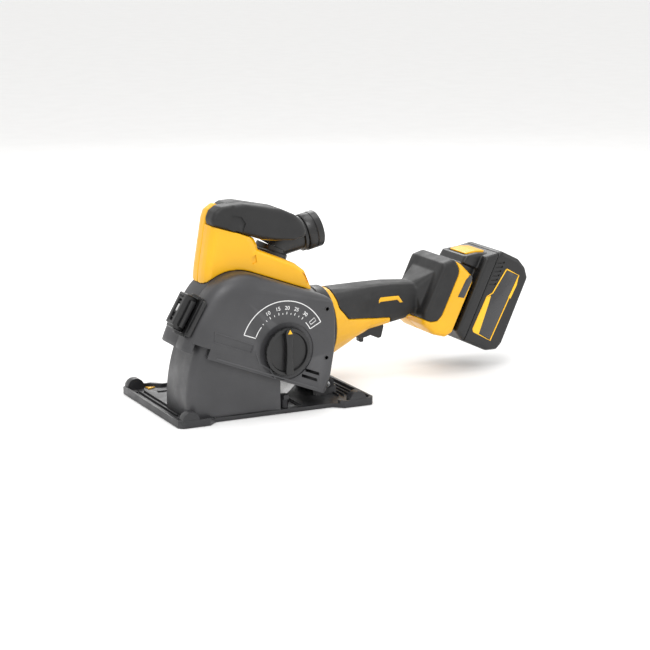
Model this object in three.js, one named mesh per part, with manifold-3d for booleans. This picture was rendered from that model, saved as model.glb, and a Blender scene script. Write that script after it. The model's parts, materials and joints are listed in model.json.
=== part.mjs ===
// Wall chaser, 125 mm twin-blade class: a sole on rollers, a plunging blade guard that hinges at the rear
// of the sole, a grinder-type drive across the guard, a front handle, a dust port and a slide-on battery.
// Millimetres. +X points to the rear (battery), +Y away from the depth-dial side, +Z up. The modelled
// pose is the raised one, which is where the plunge spring holds the machine.
import * as THREE from "three";
import { ConvexGeometry } from "three/addons/geometries/ConvexGeometry.js";
import { mergeVertices } from "three/addons/utils/BufferGeometryUtils.js";
import Module from "manifold-3d";

const wasm = await Module();
wasm.setup();

// ---------- driving dimensions ----------
const GAP = 0.3; // between pieces that touch on the real machine
const BLADE_RADIUS = 62.5;
const BLADE_SPACING = 29; // groove width, blade to blade
const SPINDLE = { x: -5, z: 67.5 }; // spindle axis, along Y
const PIVOT = { x: 88, z: 16 }; // plunge hinge, along Y
const PLUNGE_DEGREES = 21.5; // from raised to full depth
const MOTOR = { y: 32, z: 67.5, rear: 116 }; // axis along X, and the end of its black collar

const SOLE = { front: -100, rear: 124, halfWidth: 82.7, waist: 73.5, under: 0.8, top: 4.8, rim: 8.2 };
const RIB_TOP = 6.3; // low enough for the gear head at full plunge
const ROLLER = { radius: 7.2, halfWidth: 3.1, y: 77.4, xs: [-87, 104] };

const GUARD = { near: -77, split: -47, far: -8, wall: 2.6, fillet: 13 };
const GUARD_FRONT_RADIUS = 188; // about the pivot
const GUARD_CROWN = { x: -21, z: 102 }; // centre of the rounded top front corner
const GUARD_EDGE = { x: -65.1, z: 68.6, slope: -0.388 }; // lower edge, level when fully plunged
const LOWER_GUARD = { radius: 173.5, near: -72, far: -12, wall: 2.2, rear: 18, fillet: 10 };

const KNOB = { x: 23, z: 67.8, radius: 25.7, hub: 9 };
const BATTERY_TILT = THREE.MathUtils.degToRad(25);
const BATTERY_ORIGIN = { x: 262, z: 53.9 }; // lower rear corner of the foot
const BATTERY = { y: 32, halfWidth: 39, wall: 3, split: 20 }; // split: outward distance of base from cup

const HINGE = { x: 86.8, y: -47, low: 52, high: 88 }; // upright hinge of the cover, at its rear edge
const CAP_RADIUS = 21.5; // spindle bearing cap, through the guard's far wall
const HEAD_RADIUS = 22.5;

// ---------- materials ----------
function paint(color, roughness, metalness = 0) {
  return () => new THREE.MeshStandardMaterial({ color, roughness, metalness });
}
const yellow = paint(0xf5b400, 0.45);
const blackPlastic = paint(0x1c1d1f, 0.5);
const rubber = paint(0x141516, 0.85);
const guardGrey = paint(0x44464a, 0.5, 0.2);
const castAlloy = paint(0x3a3b3e, 0.45, 0.6);
const steel = paint(0xa9acb0, 0.35, 0.9);
const diamond = paint(0xb9bbbd, 0.5, 0.8);
const copper = paint(0xb06a3a, 0.4, 0.8);
const cellGreen = paint(0x3f7d6a, 0.5);
const paleGrey = paint(0xc9cbcd, 0.5);

// ---------- solids ----------
function toSolid(geometry) {
  const bare = geometry.index ? geometry.toNonIndexed() : geometry;
  bare.deleteAttribute("normal");
  bare.deleteAttribute("uv");
  const merged = mergeVertices(bare, 1e-4);
  return new wasm.Manifold(
    new wasm.Mesh({
      numProp: 3,
      vertProperties: merged.attributes.position.array,
      triVerts: new Uint32Array(merged.index.array),
    }),
  );
}

function toGeometry(solid) {
  const { vertProperties, triVerts } = solid.getMesh();
  const indexed = new THREE.BufferGeometry();
  indexed.setAttribute("position", new THREE.BufferAttribute(vertProperties, 3));
  indexed.setIndex(new THREE.BufferAttribute(triVerts, 1));
  const flat = indexed.toNonIndexed();
  flat.computeVertexNormals();
  return flat;
}

const join = (...solids) => solids.reduce((a, b) => a.add(b));
const cut = (solid, ...tools) => tools.reduce((a, b) => a.subtract(b), solid);
const meet = (a, b) => a.intersect(b);

function box(x0, x1, y0, y1, z0, z1) {
  const geometry = new THREE.BoxGeometry(x1 - x0, y1 - y0, z1 - z0);
  geometry.translate((x0 + x1) / 2, (y0 + y1) / 2, (z0 + z1) / 2);
  return toSolid(geometry);
}

// A round bar between two points, with an optional second radius at the far end.
function bar(from, to, radius, endRadius = radius, segments = 20) {
  const a = new THREE.Vector3(...from);
  const b = new THREE.Vector3(...to);
  const along = new THREE.Vector3().subVectors(b, a);
  const geometry = new THREE.CylinderGeometry(endRadius, radius, along.length(), segments);
  const upright = new THREE.Vector3(0, 1, 0);
  const turn = new THREE.Quaternion().setFromUnitVectors(upright, along.clone().normalize());
  geometry.applyQuaternion(turn);
  geometry.translate(...a.add(b).multiplyScalar(0.5));
  return toSolid(geometry);
}
const barY = (x, z, y0, y1, radius, segments) => bar([x, y0, z], [x, y1, z], radius, radius, segments);
const barX = (y, z, x0, x1, radius, endRadius) => bar([x0, y, z], [x1, y, z], radius, endRadius, 22);
const ringY = (x, z, y0, y1, outer, inner) =>
  cut(barY(x, z, y0, y1, outer), barY(x, z, y0 - 1, y1 + 1, inner));
const ringX = (y, z, x0, x1, outer, inner) =>
  cut(barX(y, z, x0, x1, outer), barX(y, z, x0 - 1, x1 + 1, inner));

const outline = (points) => new THREE.Shape(points.map(([x, z]) => new THREE.Vector2(x, z)));

// An XZ outline swept across Y from y0 to y1. A bevel rounds both ends, and inset shrinks the outline.
function slab(shape, y0, y1, { bevel = 0, inset = 0, steps = 3, curve = 12 } = {}) {
  const geometry = new THREE.ExtrudeGeometry(shape, {
    depth: y1 - y0 - 2 * bevel,
    bevelEnabled: bevel > 0,
    bevelThickness: bevel,
    bevelSize: bevel,
    bevelOffset: -(bevel + inset),
    bevelSegments: bevel > 0 ? steps : 0,
    curveSegments: curve,
  });
  geometry.rotateX(Math.PI / 2);
  geometry.translate(0, y1 - bevel, 0);
  return toSolid(geometry);
}

// An XY outline swept up from z0 to z1.
function plan(points, z0, z1) {
  const geometry = new THREE.ExtrudeGeometry(outline(points), { depth: z1 - z0, bevelEnabled: false });
  geometry.translate(0, 0, z0);
  return toSolid(geometry);
}

function hull(points) {
  return toSolid(new ConvexGeometry(points.map((p) => new THREE.Vector3(...p))));
}

// A convex XZ outline swept across Y, its two ends rounded over by drawing in towards its middle.
function softBlock(points, y0, y1, round, inset = 0) {
  const middle = [0, 1].map((k) => points.reduce((sum, p) => sum + p[k], 0) / points.length);
  const drawnIn = (p, amount) => {
    const away = Math.hypot(p[0] - middle[0], p[1] - middle[1]);
    return p.map((value, k) => middle[k] + (value - middle[k]) * (1 - amount / away));
  };
  const layers = [0, 30, 60, 90].map((degrees) => {
    const angle = THREE.MathUtils.degToRad(degrees);
    return [inset + round * (1 - Math.sin(angle)), inset + round * (1 - Math.cos(angle))];
  });
  return hull(
    layers.flatMap(([shrink, depth]) =>
      points.flatMap((p) => {
        const [x, z] = drawnIn(p, shrink);
        return [
          [x, y0 + depth, z],
          [x, y1 - depth, z],
        ];
      }),
    ),
  );
}

// Cuts can leave slivers and needless edges behind: only bodies of a real size are kept, and edges
// that bend the surface by less than a few hundredths of a millimetre are dropped.
function cleaned(solid) {
  return join(...solid.decompose().filter((body) => body.volume() > 1)).simplify(0.04);
}

// ---------- the scene ----------
const machine = new THREE.Group();
function piece(name, solid, material) {
  const mesh = new THREE.Mesh(toGeometry(cleaned(solid)), material());
  mesh.name = name;
  machine.add(mesh);
}

// ---------- sole and rollers ----------
function soleBlank(z0, z1, inset) {
  const edge = SOLE.halfWidth - inset;
  const waist = SOLE.waist - inset;
  const front = SOLE.front + inset;
  const rear = SOLE.rear - inset;
  const half = [
    [front, edge - 5],
    [front + 5, edge],
    [-66 - inset, edge],
    [-56 - inset, waist],
    [78 + inset, waist],
    [88 + inset, edge],
    [rear - 4, edge],
    [rear, edge - 6],
  ];
  const mirrored = half.map(([x, y]) => [x, -y]).reverse();
  return plan([...mirrored, ...half].reverse(), z0, z1);
}

function makeSole() {
  const plate = soleBlank(SOLE.under, SOLE.top, 0);
  const rim = cut(soleBlank(SOLE.top - 1, SOLE.rim, 0), soleBlank(SOLE.top - 2, SOLE.rim + 1, 3));
  const guardSide = box(-62, 84, -90, -60, SOLE.top, 20); // no rim where the guard comes down beside it
  const blank = join(plate, cut(rim, guardSide));
  const ribs = [-40, 10, 60].map((x) => box(x - 1.5, x + 1.5, 20, SOLE.waist - 1, SOLE.top - 1, RIB_TOP));
  const crossRib = box(-70, 86, 50.5, 53.5, SOLE.top - 1, RIB_TOP);
  const lugs = [
    [-38, -31],
    [7, 14],
  ].map(([y0, y1]) =>
    join(box(PIVOT.x - 12, PIVOT.x + 12, y0, y1, SOLE.top - 1, 14), barY(PIVOT.x, PIVOT.z, y0, y1, 9.5)),
  );
  let sole = join(blank, ...ribs, crossRib, ...lugs);
  for (const x of ROLLER.xs)
    for (const side of [-1, 1]) {
      const ends = [side * (ROLLER.y - 4.9), side * (ROLLER.y + 4.9)].sort((a, b) => a - b);
      const boss = meet(
        barY(x, ROLLER.radius, ends[0], ends[1], 9.6, 16),
        box(x - 20, x + 20, -90, 90, SOLE.under, 30),
      );
      sole = join(sole, boss);
    }
  for (const x of ROLLER.xs)
    for (const side of [-1, 1]) {
      const ends = [side * (ROLLER.y - 3.5), side * (ROLLER.y + 3.5)].sort((a, b) => a - b);
      const pocket = barY(x, ROLLER.radius, ends[0], ends[1], ROLLER.radius + 0.9, 16);
      const open = box(x - 8.1, x + 8.1, ends[0], ends[1], -2, ROLLER.radius);
      const axleHole = barY(x, ROLLER.radius, side * ROLLER.y - 4.7, side * ROLLER.y + 4.7, 2.4, 10);
      sole = cut(sole, pocket, open, axleHole);
    }
  const bladeSlot = box(-79, 46, -66, -18, -5, 12);
  const pinHole = barY(PIVOT.x, PIVOT.z, -60, 40, 4.3, 20);
  return cut(sole, bladeSlot, pinHole);
}
piece("sole_plate", makeSole(), castAlloy);

ROLLER.xs.forEach((x, row) => {
  for (const side of [-1, 1]) {
    const where = (row === 0 ? "front" : "rear") + (side < 0 ? "_near" : "_far");
    const y = side * ROLLER.y;
    const wheel = ringY(x, ROLLER.radius, y - ROLLER.halfWidth, y + ROLLER.halfWidth, ROLLER.radius, 2.3);
    piece("roller_" + where, wheel, blackPlastic);
    piece("roller_axle_" + where, barY(x, ROLLER.radius, y - 4.5, y + 4.5, 2, 12), steel);
  }
});
piece("plunge_pivot_pin", barY(PIVOT.x, PIVOT.z, -40, 30, 4, 20), steel);
piece("plunge_spring", ringY(PIVOT.x, PIVOT.z, 15, 28, 7.5, 4.4), steel);

function makeDepthStop() {
  const post = bar([24, -68, SOLE.top + GAP], [24, -68, 20], 4, 4, 20);
  const tab = box(21, 27, -73.8, -68, 15, 20);
  return join(post, tab);
}
piece("depth_stop_post", makeDepthStop(), steel);

// ---------- lower guard, fixed to the sole ----------
const edgeHeight = (x) => GUARD_EDGE.z + GUARD_EDGE.slope * (x - GUARD_EDGE.x);

// Points of an arc about a centre, from one angle to another in degrees.
function arc(centre, radius, from, to, count) {
  return Array.from({ length: count + 1 }, (_, i) => {
    const angle = THREE.MathUtils.degToRad(from + ((to - from) * i) / count);
    return [centre.x + radius * Math.cos(angle), centre.z + radius * Math.sin(angle)];
  });
}

// A closed section of [distance from the pivot, y] points, turned about the plunge pivot's axis.
function turnAboutPivot(section, segments = 72) {
  const profile = section.map(([radius, y]) => new THREE.Vector2(radius, y));
  const geometry = new THREE.LatheGeometry([...profile, profile[0]], segments);
  geometry.translate(PIVOT.x, 0, PIVOT.z);
  return toSolid(geometry);
}

function quarterRound(radius, y, size, inward, count = 4) {
  return Array.from({ length: count + 1 }, (_, i) => {
    const angle = (Math.PI / 2) * (inward ? 1 - i / count : i / count);
    return [radius - size + size * Math.sin(angle), y + size - size * Math.cos(angle)];
  });
}

function makeLowerGuard() {
  const { radius, near, far, wall, rear, fillet } = LOWER_GUARD;
  const foot = SOLE.top + GAP;
  const overlap = 12; // how far the panel reaches up behind the plunging guard
  const hubClear = 133; // the blade hub sweeps inside this distance from the pivot
  const shell = turnAboutPivot([
    [50, near],
    ...quarterRound(radius, near, fillet, false),
    [radius, far],
    [hubClear, far],
    [hubClear, far - wall],
    [radius - wall, far - wall],
    ...quarterRound(radius - wall, near + wall, fillet - wall, true),
    [50, near + wall],
  ]);
  const side = outline([
    [-110, foot],
    [rear, foot],
    [rear, edgeHeight(rear) + overlap],
    [-110, edgeHeight(-110) + overlap],
  ]);
  return meet(shell, slab(side, near - 5, far + 5));
}
piece("lower_guard", makeLowerGuard(), guardGrey);

// ---------- plunging guard: far half on the machine, near half the hinged cover ----------
const crownRadius = GUARD_FRONT_RADIUS - Math.hypot(PIVOT.x - GUARD_CROWN.x, GUARD_CROWN.z - PIVOT.z);
const crownStart = THREE.MathUtils.radToDeg(Math.atan2(GUARD_CROWN.z - PIVOT.z, GUARD_CROWN.x - PIVOT.x));

// The guard's outline with its lower side left long, to be cut back to the lower edge.
function guardPoints() {
  const front = arc(PIVOT, GUARD_FRONT_RADIUS, 190, crownStart, 10);
  const crown = arc(GUARD_CROWN, crownRadius, crownStart, 69.3, 8).slice(1);
  const rear = [
    [75.3, 119.1],
    [80.5, 112],
    [82.6, 94],
    [81.6, 62],
    [73, 15],
    [64, -30],
  ];
  return [...front, ...crown, ...rear].reverse();
}
const guardOutline = () => outline(guardPoints());
const belowEdge = (drop = 0) =>
  slab(
    outline([
      [-130, edgeHeight(-130) - drop],
      [-130, -80],
      [120, -80],
      [120, edgeHeight(120) - drop],
    ]),
    -120,
    60,
  );

function guardShell(y0, y1, nearBevel) {
  const outer = slab(guardOutline(), GUARD.near, 40, { bevel: nearBevel, steps: 4 });
  const inner = slab(guardOutline(), GUARD.near + GUARD.wall, GUARD.far - GUARD.wall, {
    bevel: nearBevel - 1,
    inset: GUARD.wall,
    steps: 4,
  });
  const band = box(-140, 140, y0, y1, -80, 200);
  return cut(meet(outer, band), inner, belowEdge());
}

// The room that the front roller's boss takes in the cover's lower corner when the guard is fully down.
function rollerNotch() {
  const raised = THREE.MathUtils.degToRad(PLUNGE_DEGREES);
  const corners = [
    [-130, -30],
    [-75, -30],
    [-75, 19],
    [-130, 19],
  ].map(([x, z]) => {
    const away = [x - PIVOT.x, z - PIVOT.z];
    return [
      PIVOT.x + away[0] * Math.cos(raised) + away[1] * Math.sin(raised),
      PIVOT.z - away[0] * Math.sin(raised) + away[1] * Math.cos(raised),
    ];
  });
  return slab(outline(corners), GUARD.near - 5, -71.4);
}

function makeGuardCover() {
  const shell = guardShell(GUARD.near - 1, GUARD.split - GAP / 2, GUARD.fillet);
  const knobHole = barY(KNOB.x, KNOB.z, GUARD.near - 5, GUARD.near + 6, KNOB.hub + GAP, 32);
  const vents = [
    [44.4, 45.5, 60.6, 39.2],
    [40.3, 40, 58.3, 32.8],
  ].map(([x0, z0, x1, z1]) => {
    const slot = outline([[x0, z0 - 1.6], [x1, z1 - 1.6], [x1, z1 + 1.6], [x0, z0 + 1.6]]);
    return slab(slot, GUARD.near - 5, GUARD.near + 6);
  });
  const knuckle = join(
    bar([HINGE.x, HINGE.y, 62], [HINGE.x, HINGE.y, 78], 3.6, 3.6, 20),
    box(80, HINGE.x, -50.4, -47.2, 62, 78),
  );
  const hingeHole = bar([HINGE.x, HINGE.y, 40], [HINGE.x, HINGE.y, 100], 2, 2, 16);
  const rearCorner = box(55, 80, GUARD.near - 5, GUARD.split + 1, 0, 17.8);
  return cut(join(shell, knuckle), knobHole, hingeHole, rollerNotch(), rearCorner, ...vents);
}
piece("guard_cover", makeGuardCover(), guardGrey);

function makeGuardBody() {
  const shell = guardShell(GUARD.split + GAP / 2, GUARD.far, 6);
  const snoutHole = barY(SPINDLE.x, SPINDLE.z, GUARD.far - 5, GUARD.far + 5, CAP_RADIUS + GAP, 28);
  const lip = meet(
    turnAboutPivot([
      [175.6, GUARD.split + GAP / 2],
      [GUARD_FRONT_RADIUS - 1, GUARD.split + GAP / 2],
      [GUARD_FRONT_RADIUS - 1, GUARD.far - 1],
      [175.6, GUARD.far - 1],
    ]),
    slab(outline([[-120, 92], [-120, 60], [-60, 40], [-60, 92]]), -60, 0),
  );
  const aboveLip = slab(outline([[-120, 95], [-40, 64], [-40, 130], [-120, 130]]), -60, 0);
  const lipTrim = cut(lip, belowEdge(), aboveLip);
  const arm = join(
    slab(outline([[74, 30], [88, 25.5], [96, 20], [88, 8.2], [73, 12]]), -29, 5),
    barY(PIVOT.x, PIVOT.z, -30, 6, 9),
  );
  const pinHole = barY(PIVOT.x, PIVOT.z, -50, 20, 4.3, 20);
  const dustOpening = box(28, 64, -40, -14, 100, 160);
  const knuckles = [
    [HINGE.low, 61.7],
    [78.3, HINGE.high],
  ].map(([z0, z1]) =>
    join(
      bar([HINGE.x, HINGE.y, z0], [HINGE.x, HINGE.y, z1], 3.6, 3.6, 20),
      box(80, HINGE.x, -46.8, -43.6, z0, z1),
    ),
  );
  const hingeHole = bar([HINGE.x, HINGE.y, 40], [HINGE.x, HINGE.y, 100], 2, 2, 16);
  return cut(join(shell, lipTrim, arm, ...knuckles), snoutHole, pinHole, dustOpening, hingeHole);
}
piece("guard_body", makeGuardBody(), guardGrey);
piece("cover_hinge_pin", bar([HINGE.x, HINGE.y, 50], [HINGE.x, HINGE.y, 90], 1.7, 1.7, 16), steel);

// ---------- depth dial on the cover ----------
function makeDepthKnob() {
  const disc = barY(KNOB.x, KNOB.z, -80.5, -77.3, KNOB.radius, 32);
  const grip = box(KNOB.x - 4.5, KNOB.x + 4.5, -86, -80, KNOB.z - 24, KNOB.z + 24);
  const hub = barY(KNOB.x, KNOB.z, -77.6, -74.4, KNOB.hub, 32);
  return join(disc, grip, hub);
}
piece("depth_knob", makeDepthKnob(), blackPlastic);
piece("depth_cam", barY(KNOB.x, KNOB.z, -74.1, -72.6, 15, 32), steel);

// ---------- cover latch, across the split on the front ----------
const LATCH = { degrees: 150, inner: 190.5, outer: 204, along: 19 }; // distances from the plunge pivot
// A block given by its distance from the plunge pivot, its reach along the guard's front, and y.
function frontBlock(r0, r1, along0, along1, y0, y1) {
  const angle = THREE.MathUtils.degToRad(LATCH.degrees);
  const out = [Math.cos(angle), Math.sin(angle)];
  const up = [out[1], -out[0]];
  const at = (r, a) => [PIVOT.x + r * out[0] + a * up[0], PIVOT.z + r * out[1] + a * up[1]];
  return slab(outline([at(r0, along0), at(r0, along1), at(r1, along1), at(r1, along0)].reverse()), y0, y1);
}
function makeCoverLatch() {
  const lever = frontBlock(LATCH.inner, LATCH.outer, -LATCH.along, LATCH.along, -58, -39);
  const window = frontBlock(LATCH.outer - 4, LATCH.outer + 2, -12, 12, -52, -44);
  const root = frontBlock(192, 198, -15, 15, -62, -57);
  return cut(join(lever, root), window);
}
piece("cover_latch", makeCoverLatch(), blackPlastic);
piece(
  "latch_bracket",
  join(
    frontBlock(188.3, 190.2, -22, 22, -66, -53),
    frontBlock(188.3, 200, 19.5, 22, -63, -57),
    frontBlock(188.3, 200, -22, -19.5, -63, -57),
  ),
  blackPlastic,
);
piece("latch_keeper", frontBlock(188.4, 194, -14, 14, -38.5, -31), paleGrey);

// ---------- gear case and motor ----------
function makeGearCase() {
  const { x, z } = SPINDLE;
  const head = barY(x, z, -7.6, 57, HEAD_RADIUS, 26);
  const neck = barX(MOTOR.y, MOTOR.z, 4, 38, HEAD_RADIUS, 37.5);
  const flange = barX(MOTOR.y, MOTOR.z, 38, 45.7, 37.5);
  const gearRoom = barY(x, z, -20, 52, HEAD_RADIUS - 4, 26);
  const shaftRoom = barX(MOTOR.y, MOTOR.z, 0, 50, 14, 33);
  const buttonHole = bar([x, 44, z + 10], [x, 44, z + 40], 3.3, 3.3, 16);
  return cut(join(head, neck, flange), gearRoom, shaftRoom, buttonHole);
}
piece("gear_case", makeGearCase(), castAlloy);
piece("spindle_bearing_cap", ringY(SPINDLE.x, SPINDLE.z, -14, -7.9, CAP_RADIUS, 13.3), castAlloy);
piece("spindle_bearing", ringY(SPINDLE.x, SPINDLE.z, -13.5, -8.2, 13, 6.3), steel);
piece("spindle_lock_button", bar([SPINDLE.x, 44, 85.5], [SPINDLE.x, 44, 94], 3, 3, 16), blackPlastic);
piece("spindle", barY(SPINDLE.x, SPINDLE.z, -67, 48, 6, 24), steel);

// Bevel teeth are shown as plain cones: the gear turns at a third of the motor's speed.
function makeBevelGear() {
  const cone = bar([SPINDLE.x, 12, SPINDLE.z], [SPINDLE.x, 22, SPINDLE.z], 12, 17.5, 33);
  return cut(cone, barY(SPINDLE.x, SPINDLE.z, 5, 30, 6.3));
}
piece("bevel_gear", makeBevelGear(), steel);
piece("motor_pinion", ringX(MOTOR.y, MOTOR.z, 6, 18, 7, 4.3), steel);

// ---------- blades on the spindle ----------
const INNER_BLADE_Y = -28;
const OUTER_BLADE_Y = INNER_BLADE_Y - BLADE_SPACING;
function makeBlade(y) {
  const disc = ringY(SPINDLE.x, SPINDLE.z, y - 0.9, y + 0.9, BLADE_RADIUS - 6, 6.3);
  const rim = cut(
    barY(SPINDLE.x, SPINDLE.z, y - 1.1, y + 1.1, BLADE_RADIUS, 32),
    barY(SPINDLE.x, SPINDLE.z, y - 2, y + 2, BLADE_RADIUS - 8, 32),
  );
  return join(disc, rim);
}
const onSpindle = (y0, y1, radius) => ringY(SPINDLE.x, SPINDLE.z, y0, y1, radius, 6.3);
piece("inner_flange", onSpindle(-26.6, -19, 16), steel);
piece("blade_inner", makeBlade(INNER_BLADE_Y), diamond);
piece("spacer_wide", onSpindle(-42.4, -29.4, 15), steel);
piece("spacer_narrow", onSpindle(-55.6, -42.7, 15), steel);
piece("blade_outer", makeBlade(OUTER_BLADE_Y), diamond);
piece("flange_nut", onSpindle(-65.5, -58.4, 16), steel);

piece("motor_stator", ringX(MOTOR.y, MOTOR.z, 52, 92, 33, 21), copper);
piece("rotor_core", ringX(MOTOR.y, MOTOR.z, 54, 90, 20, 4.3), steel);
piece("rotor_shaft", barX(MOTOR.y, MOTOR.z, 4, 112, 4), steel);
piece("cooling_fan", ringX(MOTOR.y, MOTOR.z, 95, 103, 28, 4.3), paleGrey);
piece("rotor_bearing", ringX(MOTOR.y, MOTOR.z, 105, 111, 11, 4.3), steel);

function makeMotorHousing() {
  const tube = ringX(MOTOR.y, MOTOR.z, 46, MOTOR.rear, 37.5, 34);
  const collar = ringX(MOTOR.y, MOTOR.z, 92, MOTOR.rear, 42, 34);
  const seatDisc = ringX(MOTOR.y, MOTOR.z, 104.5, 111.5, 34.5, 11.3);
  const bearingSeat = cut(seatDisc, ...[0, 60, 120].map(ventAcross));
  return join(tube, collar, bearingSeat);
}
function ventAcross(degrees) {
  const angle = THREE.MathUtils.degToRad(degrees);
  const geometry = new THREE.BoxGeometry(20, 10, 64);
  geometry.rotateX(angle);
  geometry.translate(108, MOTOR.y, MOTOR.z);
  return meet(toSolid(geometry), ringX(MOTOR.y, MOTOR.z, 90, 120, 30, 16));
}
piece("motor_housing", makeMotorHousing(), blackPlastic);

// ---------- rear handle and battery foot ----------
// Pack coordinates: along the slide, and outward from the foot.
function packPoint(out, along) {
  const { x, z } = BATTERY_ORIGIN;
  const sin = Math.sin(BATTERY_TILT);
  const cos = Math.cos(BATTERY_TILT);
  return [x + out * cos + along * sin, z - out * sin + along * cos];
}
const packOutline = (points) => outline(points.map(([out, along]) => packPoint(out, along)));

const HANDLE = { y: 32, seam: GAP / 2, skin: 2.4 };
const FOOT_OUTLINE = [
  [-42, 2],
  [-36, -10],
  [-18, -15.5],
  [-3, -13],
  [2.5, -6],
  [2.5, 57],
  [-2, 63],
  [-20, 69.5],
  [-32, 70.5],
  [-42, 62],
];
function ringPoints(radius, x, count = 24) {
  return Array.from({ length: count }, (_, i) => {
    const angle = (2 * Math.PI * i) / count;
    return [x, MOTOR.y + radius * Math.cos(angle), MOTOR.z + radius * Math.sin(angle)];
  });
}
// Rounded-rectangle section of the handle at one x.
function handleSection(x, z0, z1, half, corner) {
  const corners = [
    [HANDLE.y + half - corner, z1 - corner, 0],
    [HANDLE.y - half + corner, z1 - corner, 1],
    [HANDLE.y - half + corner, z0 + corner, 2],
    [HANDLE.y + half - corner, z0 + corner, 3],
  ];
  return corners.flatMap(([y, z, turn]) =>
    [0, 30, 60, 90].map((degrees) => {
      const angle = THREE.MathUtils.degToRad(degrees + 90 * turn);
      return [x, y + corner * Math.cos(angle), z + corner * Math.sin(angle)];
    }),
  );
}
function footCorners(out, low, high, half) {
  return [-1, 1].flatMap((side) =>
    [low, high].map((along) => {
      const [x, z] = packPoint(out, along);
      return [x, BATTERY.y + side * half, z];
    }),
  );
}

// The whole rear body, shrunk by inset: motor end, grip, flare and foot.
function rearBody(inset) {
  const motorEnd = hull([
    ...ringPoints(39.5 - inset, MOTOR.rear + GAP),
    ...handleSection(166, 56 + inset, 106.5 - inset, 23 - inset, 12 - inset / 2),
  ]);
  const underside = [
    [131, 15],
    [250, 15],
    [250, 58],
    [168, 56.5],
    [150.6, 52.5],
    [141.7, 45.7],
    [135, 32],
  ];
  const lowerLine = slab(outline(underside), -20, 90);
  const grip = hull([
    ...handleSection(164, 56 + inset, 106.5 - inset, 23 - inset, 12 - inset / 2),
    ...handleSection(196, 61 + inset, 107 - inset, 21.5 - inset, 12 - inset / 2),
  ]);
  const gripRear = hull([
    ...handleSection(195, 61 + inset, 107 - inset, 21.5 - inset, 12 - inset / 2),
    ...handleSection(228, 66.5 + inset, 104.5 - inset, 21 - inset, 12 - inset / 2),
  ]);
  const flare = hull([
    ...handleSection(225, 66 + inset, 105 - inset, 21 - inset, 12 - inset / 2),
    ...footCorners(-40, 4 + inset, 54 - inset, 27 - inset),
    ...footCorners(-26, -7 + inset, 66 - inset, 35 - inset),
  ]);
  const foot = softBlock(
    FOOT_OUTLINE.map(([out, along]) => packPoint(out, along)),
    BATTERY.y - BATTERY.halfWidth,
    BATTERY.y + BATTERY.halfWidth,
    6,
    inset,
  );
  return join(cut(motorEnd, lowerLine), grip, gripRear, flare, foot);
}

// Where the yellow shell is left bare of the black overmould.
function bareZone(grow) {
  const front = slab(
    outline([
      [100, 130],
      [120 + grow, 130],
      [123 + grow, 88],
      [134, 75 + grow],
      [168, 70.5 + grow],
      [192 + grow, 69 + grow],
      [196 + grow, 58],
      [196 + grow, 30],
      [100, 10],
    ]),
    -20,
    90,
  );
  const footBand = [
    [-48 - grow, -40],
    [20, -40],
    [20, 90],
    [-28 - grow, 90],
    [-26 - grow, 68],
    [-21 - grow, 63],
    [-19 - grow, 57],
    [-19 - grow, 8],
    [-22 - grow, 0 + grow],
    [-30 - grow, -4 + grow],
    [-48 - grow, -4 + grow],
  ];
  const band = slab(packOutline(footBand), -20, 90);
  return join(front, band);
}

const outerBody = rearBody(0);
const coreBody = rearBody(HANDLE.skin);
const coreWithGap = rearBody(HANDLE.skin - GAP);
const neckChannel = slab(packOutline([[-29, -3], [10, -3], [10, 100], [-29, 100]]), 6, 58);
const triggerWell = box(150, 192.5, 21.5, 42.5, 30, 68);
const cavity = join(
  meet(rearBody(HANDLE.skin + 3), box(140, 232, -20, 90, 30, 120)),
  barX(MOTOR.y, MOTOR.z, MOTOR.rear - 4, 144, 34, 17),
);
const shellSolid = cut(join(meet(outerBody, bareZone(0)), coreBody), cavity, neckChannel, triggerWell);
const overmouldSolid = cut(outerBody, bareZone(GAP), coreWithGap, neckChannel, triggerWell);
const nearSide = box(100, 400, -60, HANDLE.y - HANDLE.seam, -20, 260);
const farSide = box(100, 400, HANDLE.y + HANDLE.seam, 120, -20, 260);
piece("housing_near", meet(shellSolid, nearSide), yellow);
piece("housing_far", meet(shellSolid, farSide), yellow);
piece("overmould_near", meet(overmouldSolid, nearSide), rubber);
piece("overmould_far", meet(overmouldSolid, farSide), rubber);

piece("switch_module", box(156, 190, 24, 40, 70, 82), blackPlastic);
piece("motor_controller", box(198, 222, 20, 44, 74, 96), castAlloy);
function makeTerminalBlock() {
  return slab(packOutline([[-28.6, 4], [-24, 4], [-24, 40], [-28.6, 40]]), 16, 48);
}
piece("battery_terminal", makeTerminalBlock(), blackPlastic);

// ---------- trigger ----------
function makeTrigger() {
  const paddle = slab(
    outline([
      [152, 53.5],
      [153.5, 49.5],
      [160, 45.5],
      [168, 46.5],
      [174, 48.2],
      [184, 43.8],
      [187.5, 44.6],
      [190.5, 56.5],
      [190, 62],
      [153, 62],
    ]),
    22.5,
    41.5,
    { bevel: 2, steps: 2 },
  );
  const leverSlot = box(159, 171, 27.7, 36.3, 30, 55);
  return cut(paddle, leverSlot);
}
piece("trigger_paddle", makeTrigger(), blackPlastic);
const leverOutline = outline([[162.6, 53.5], [162, 41.5], [164, 40.3], [167.4, 40.8], [168, 53.5]]);
piece("lock_off_lever", slab(leverOutline, 28, 36), blackPlastic);

// ---------- slide-on battery ----------
const packBlock = (points, y0, y1, round, inset) =>
  softBlock(points.map(([out, along]) => packPoint(out, along)), y0, y1, round, inset);
const packNear = BATTERY.y - BATTERY.halfWidth;
const packFar = BATTERY.y + BATTERY.halfWidth;

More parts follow.
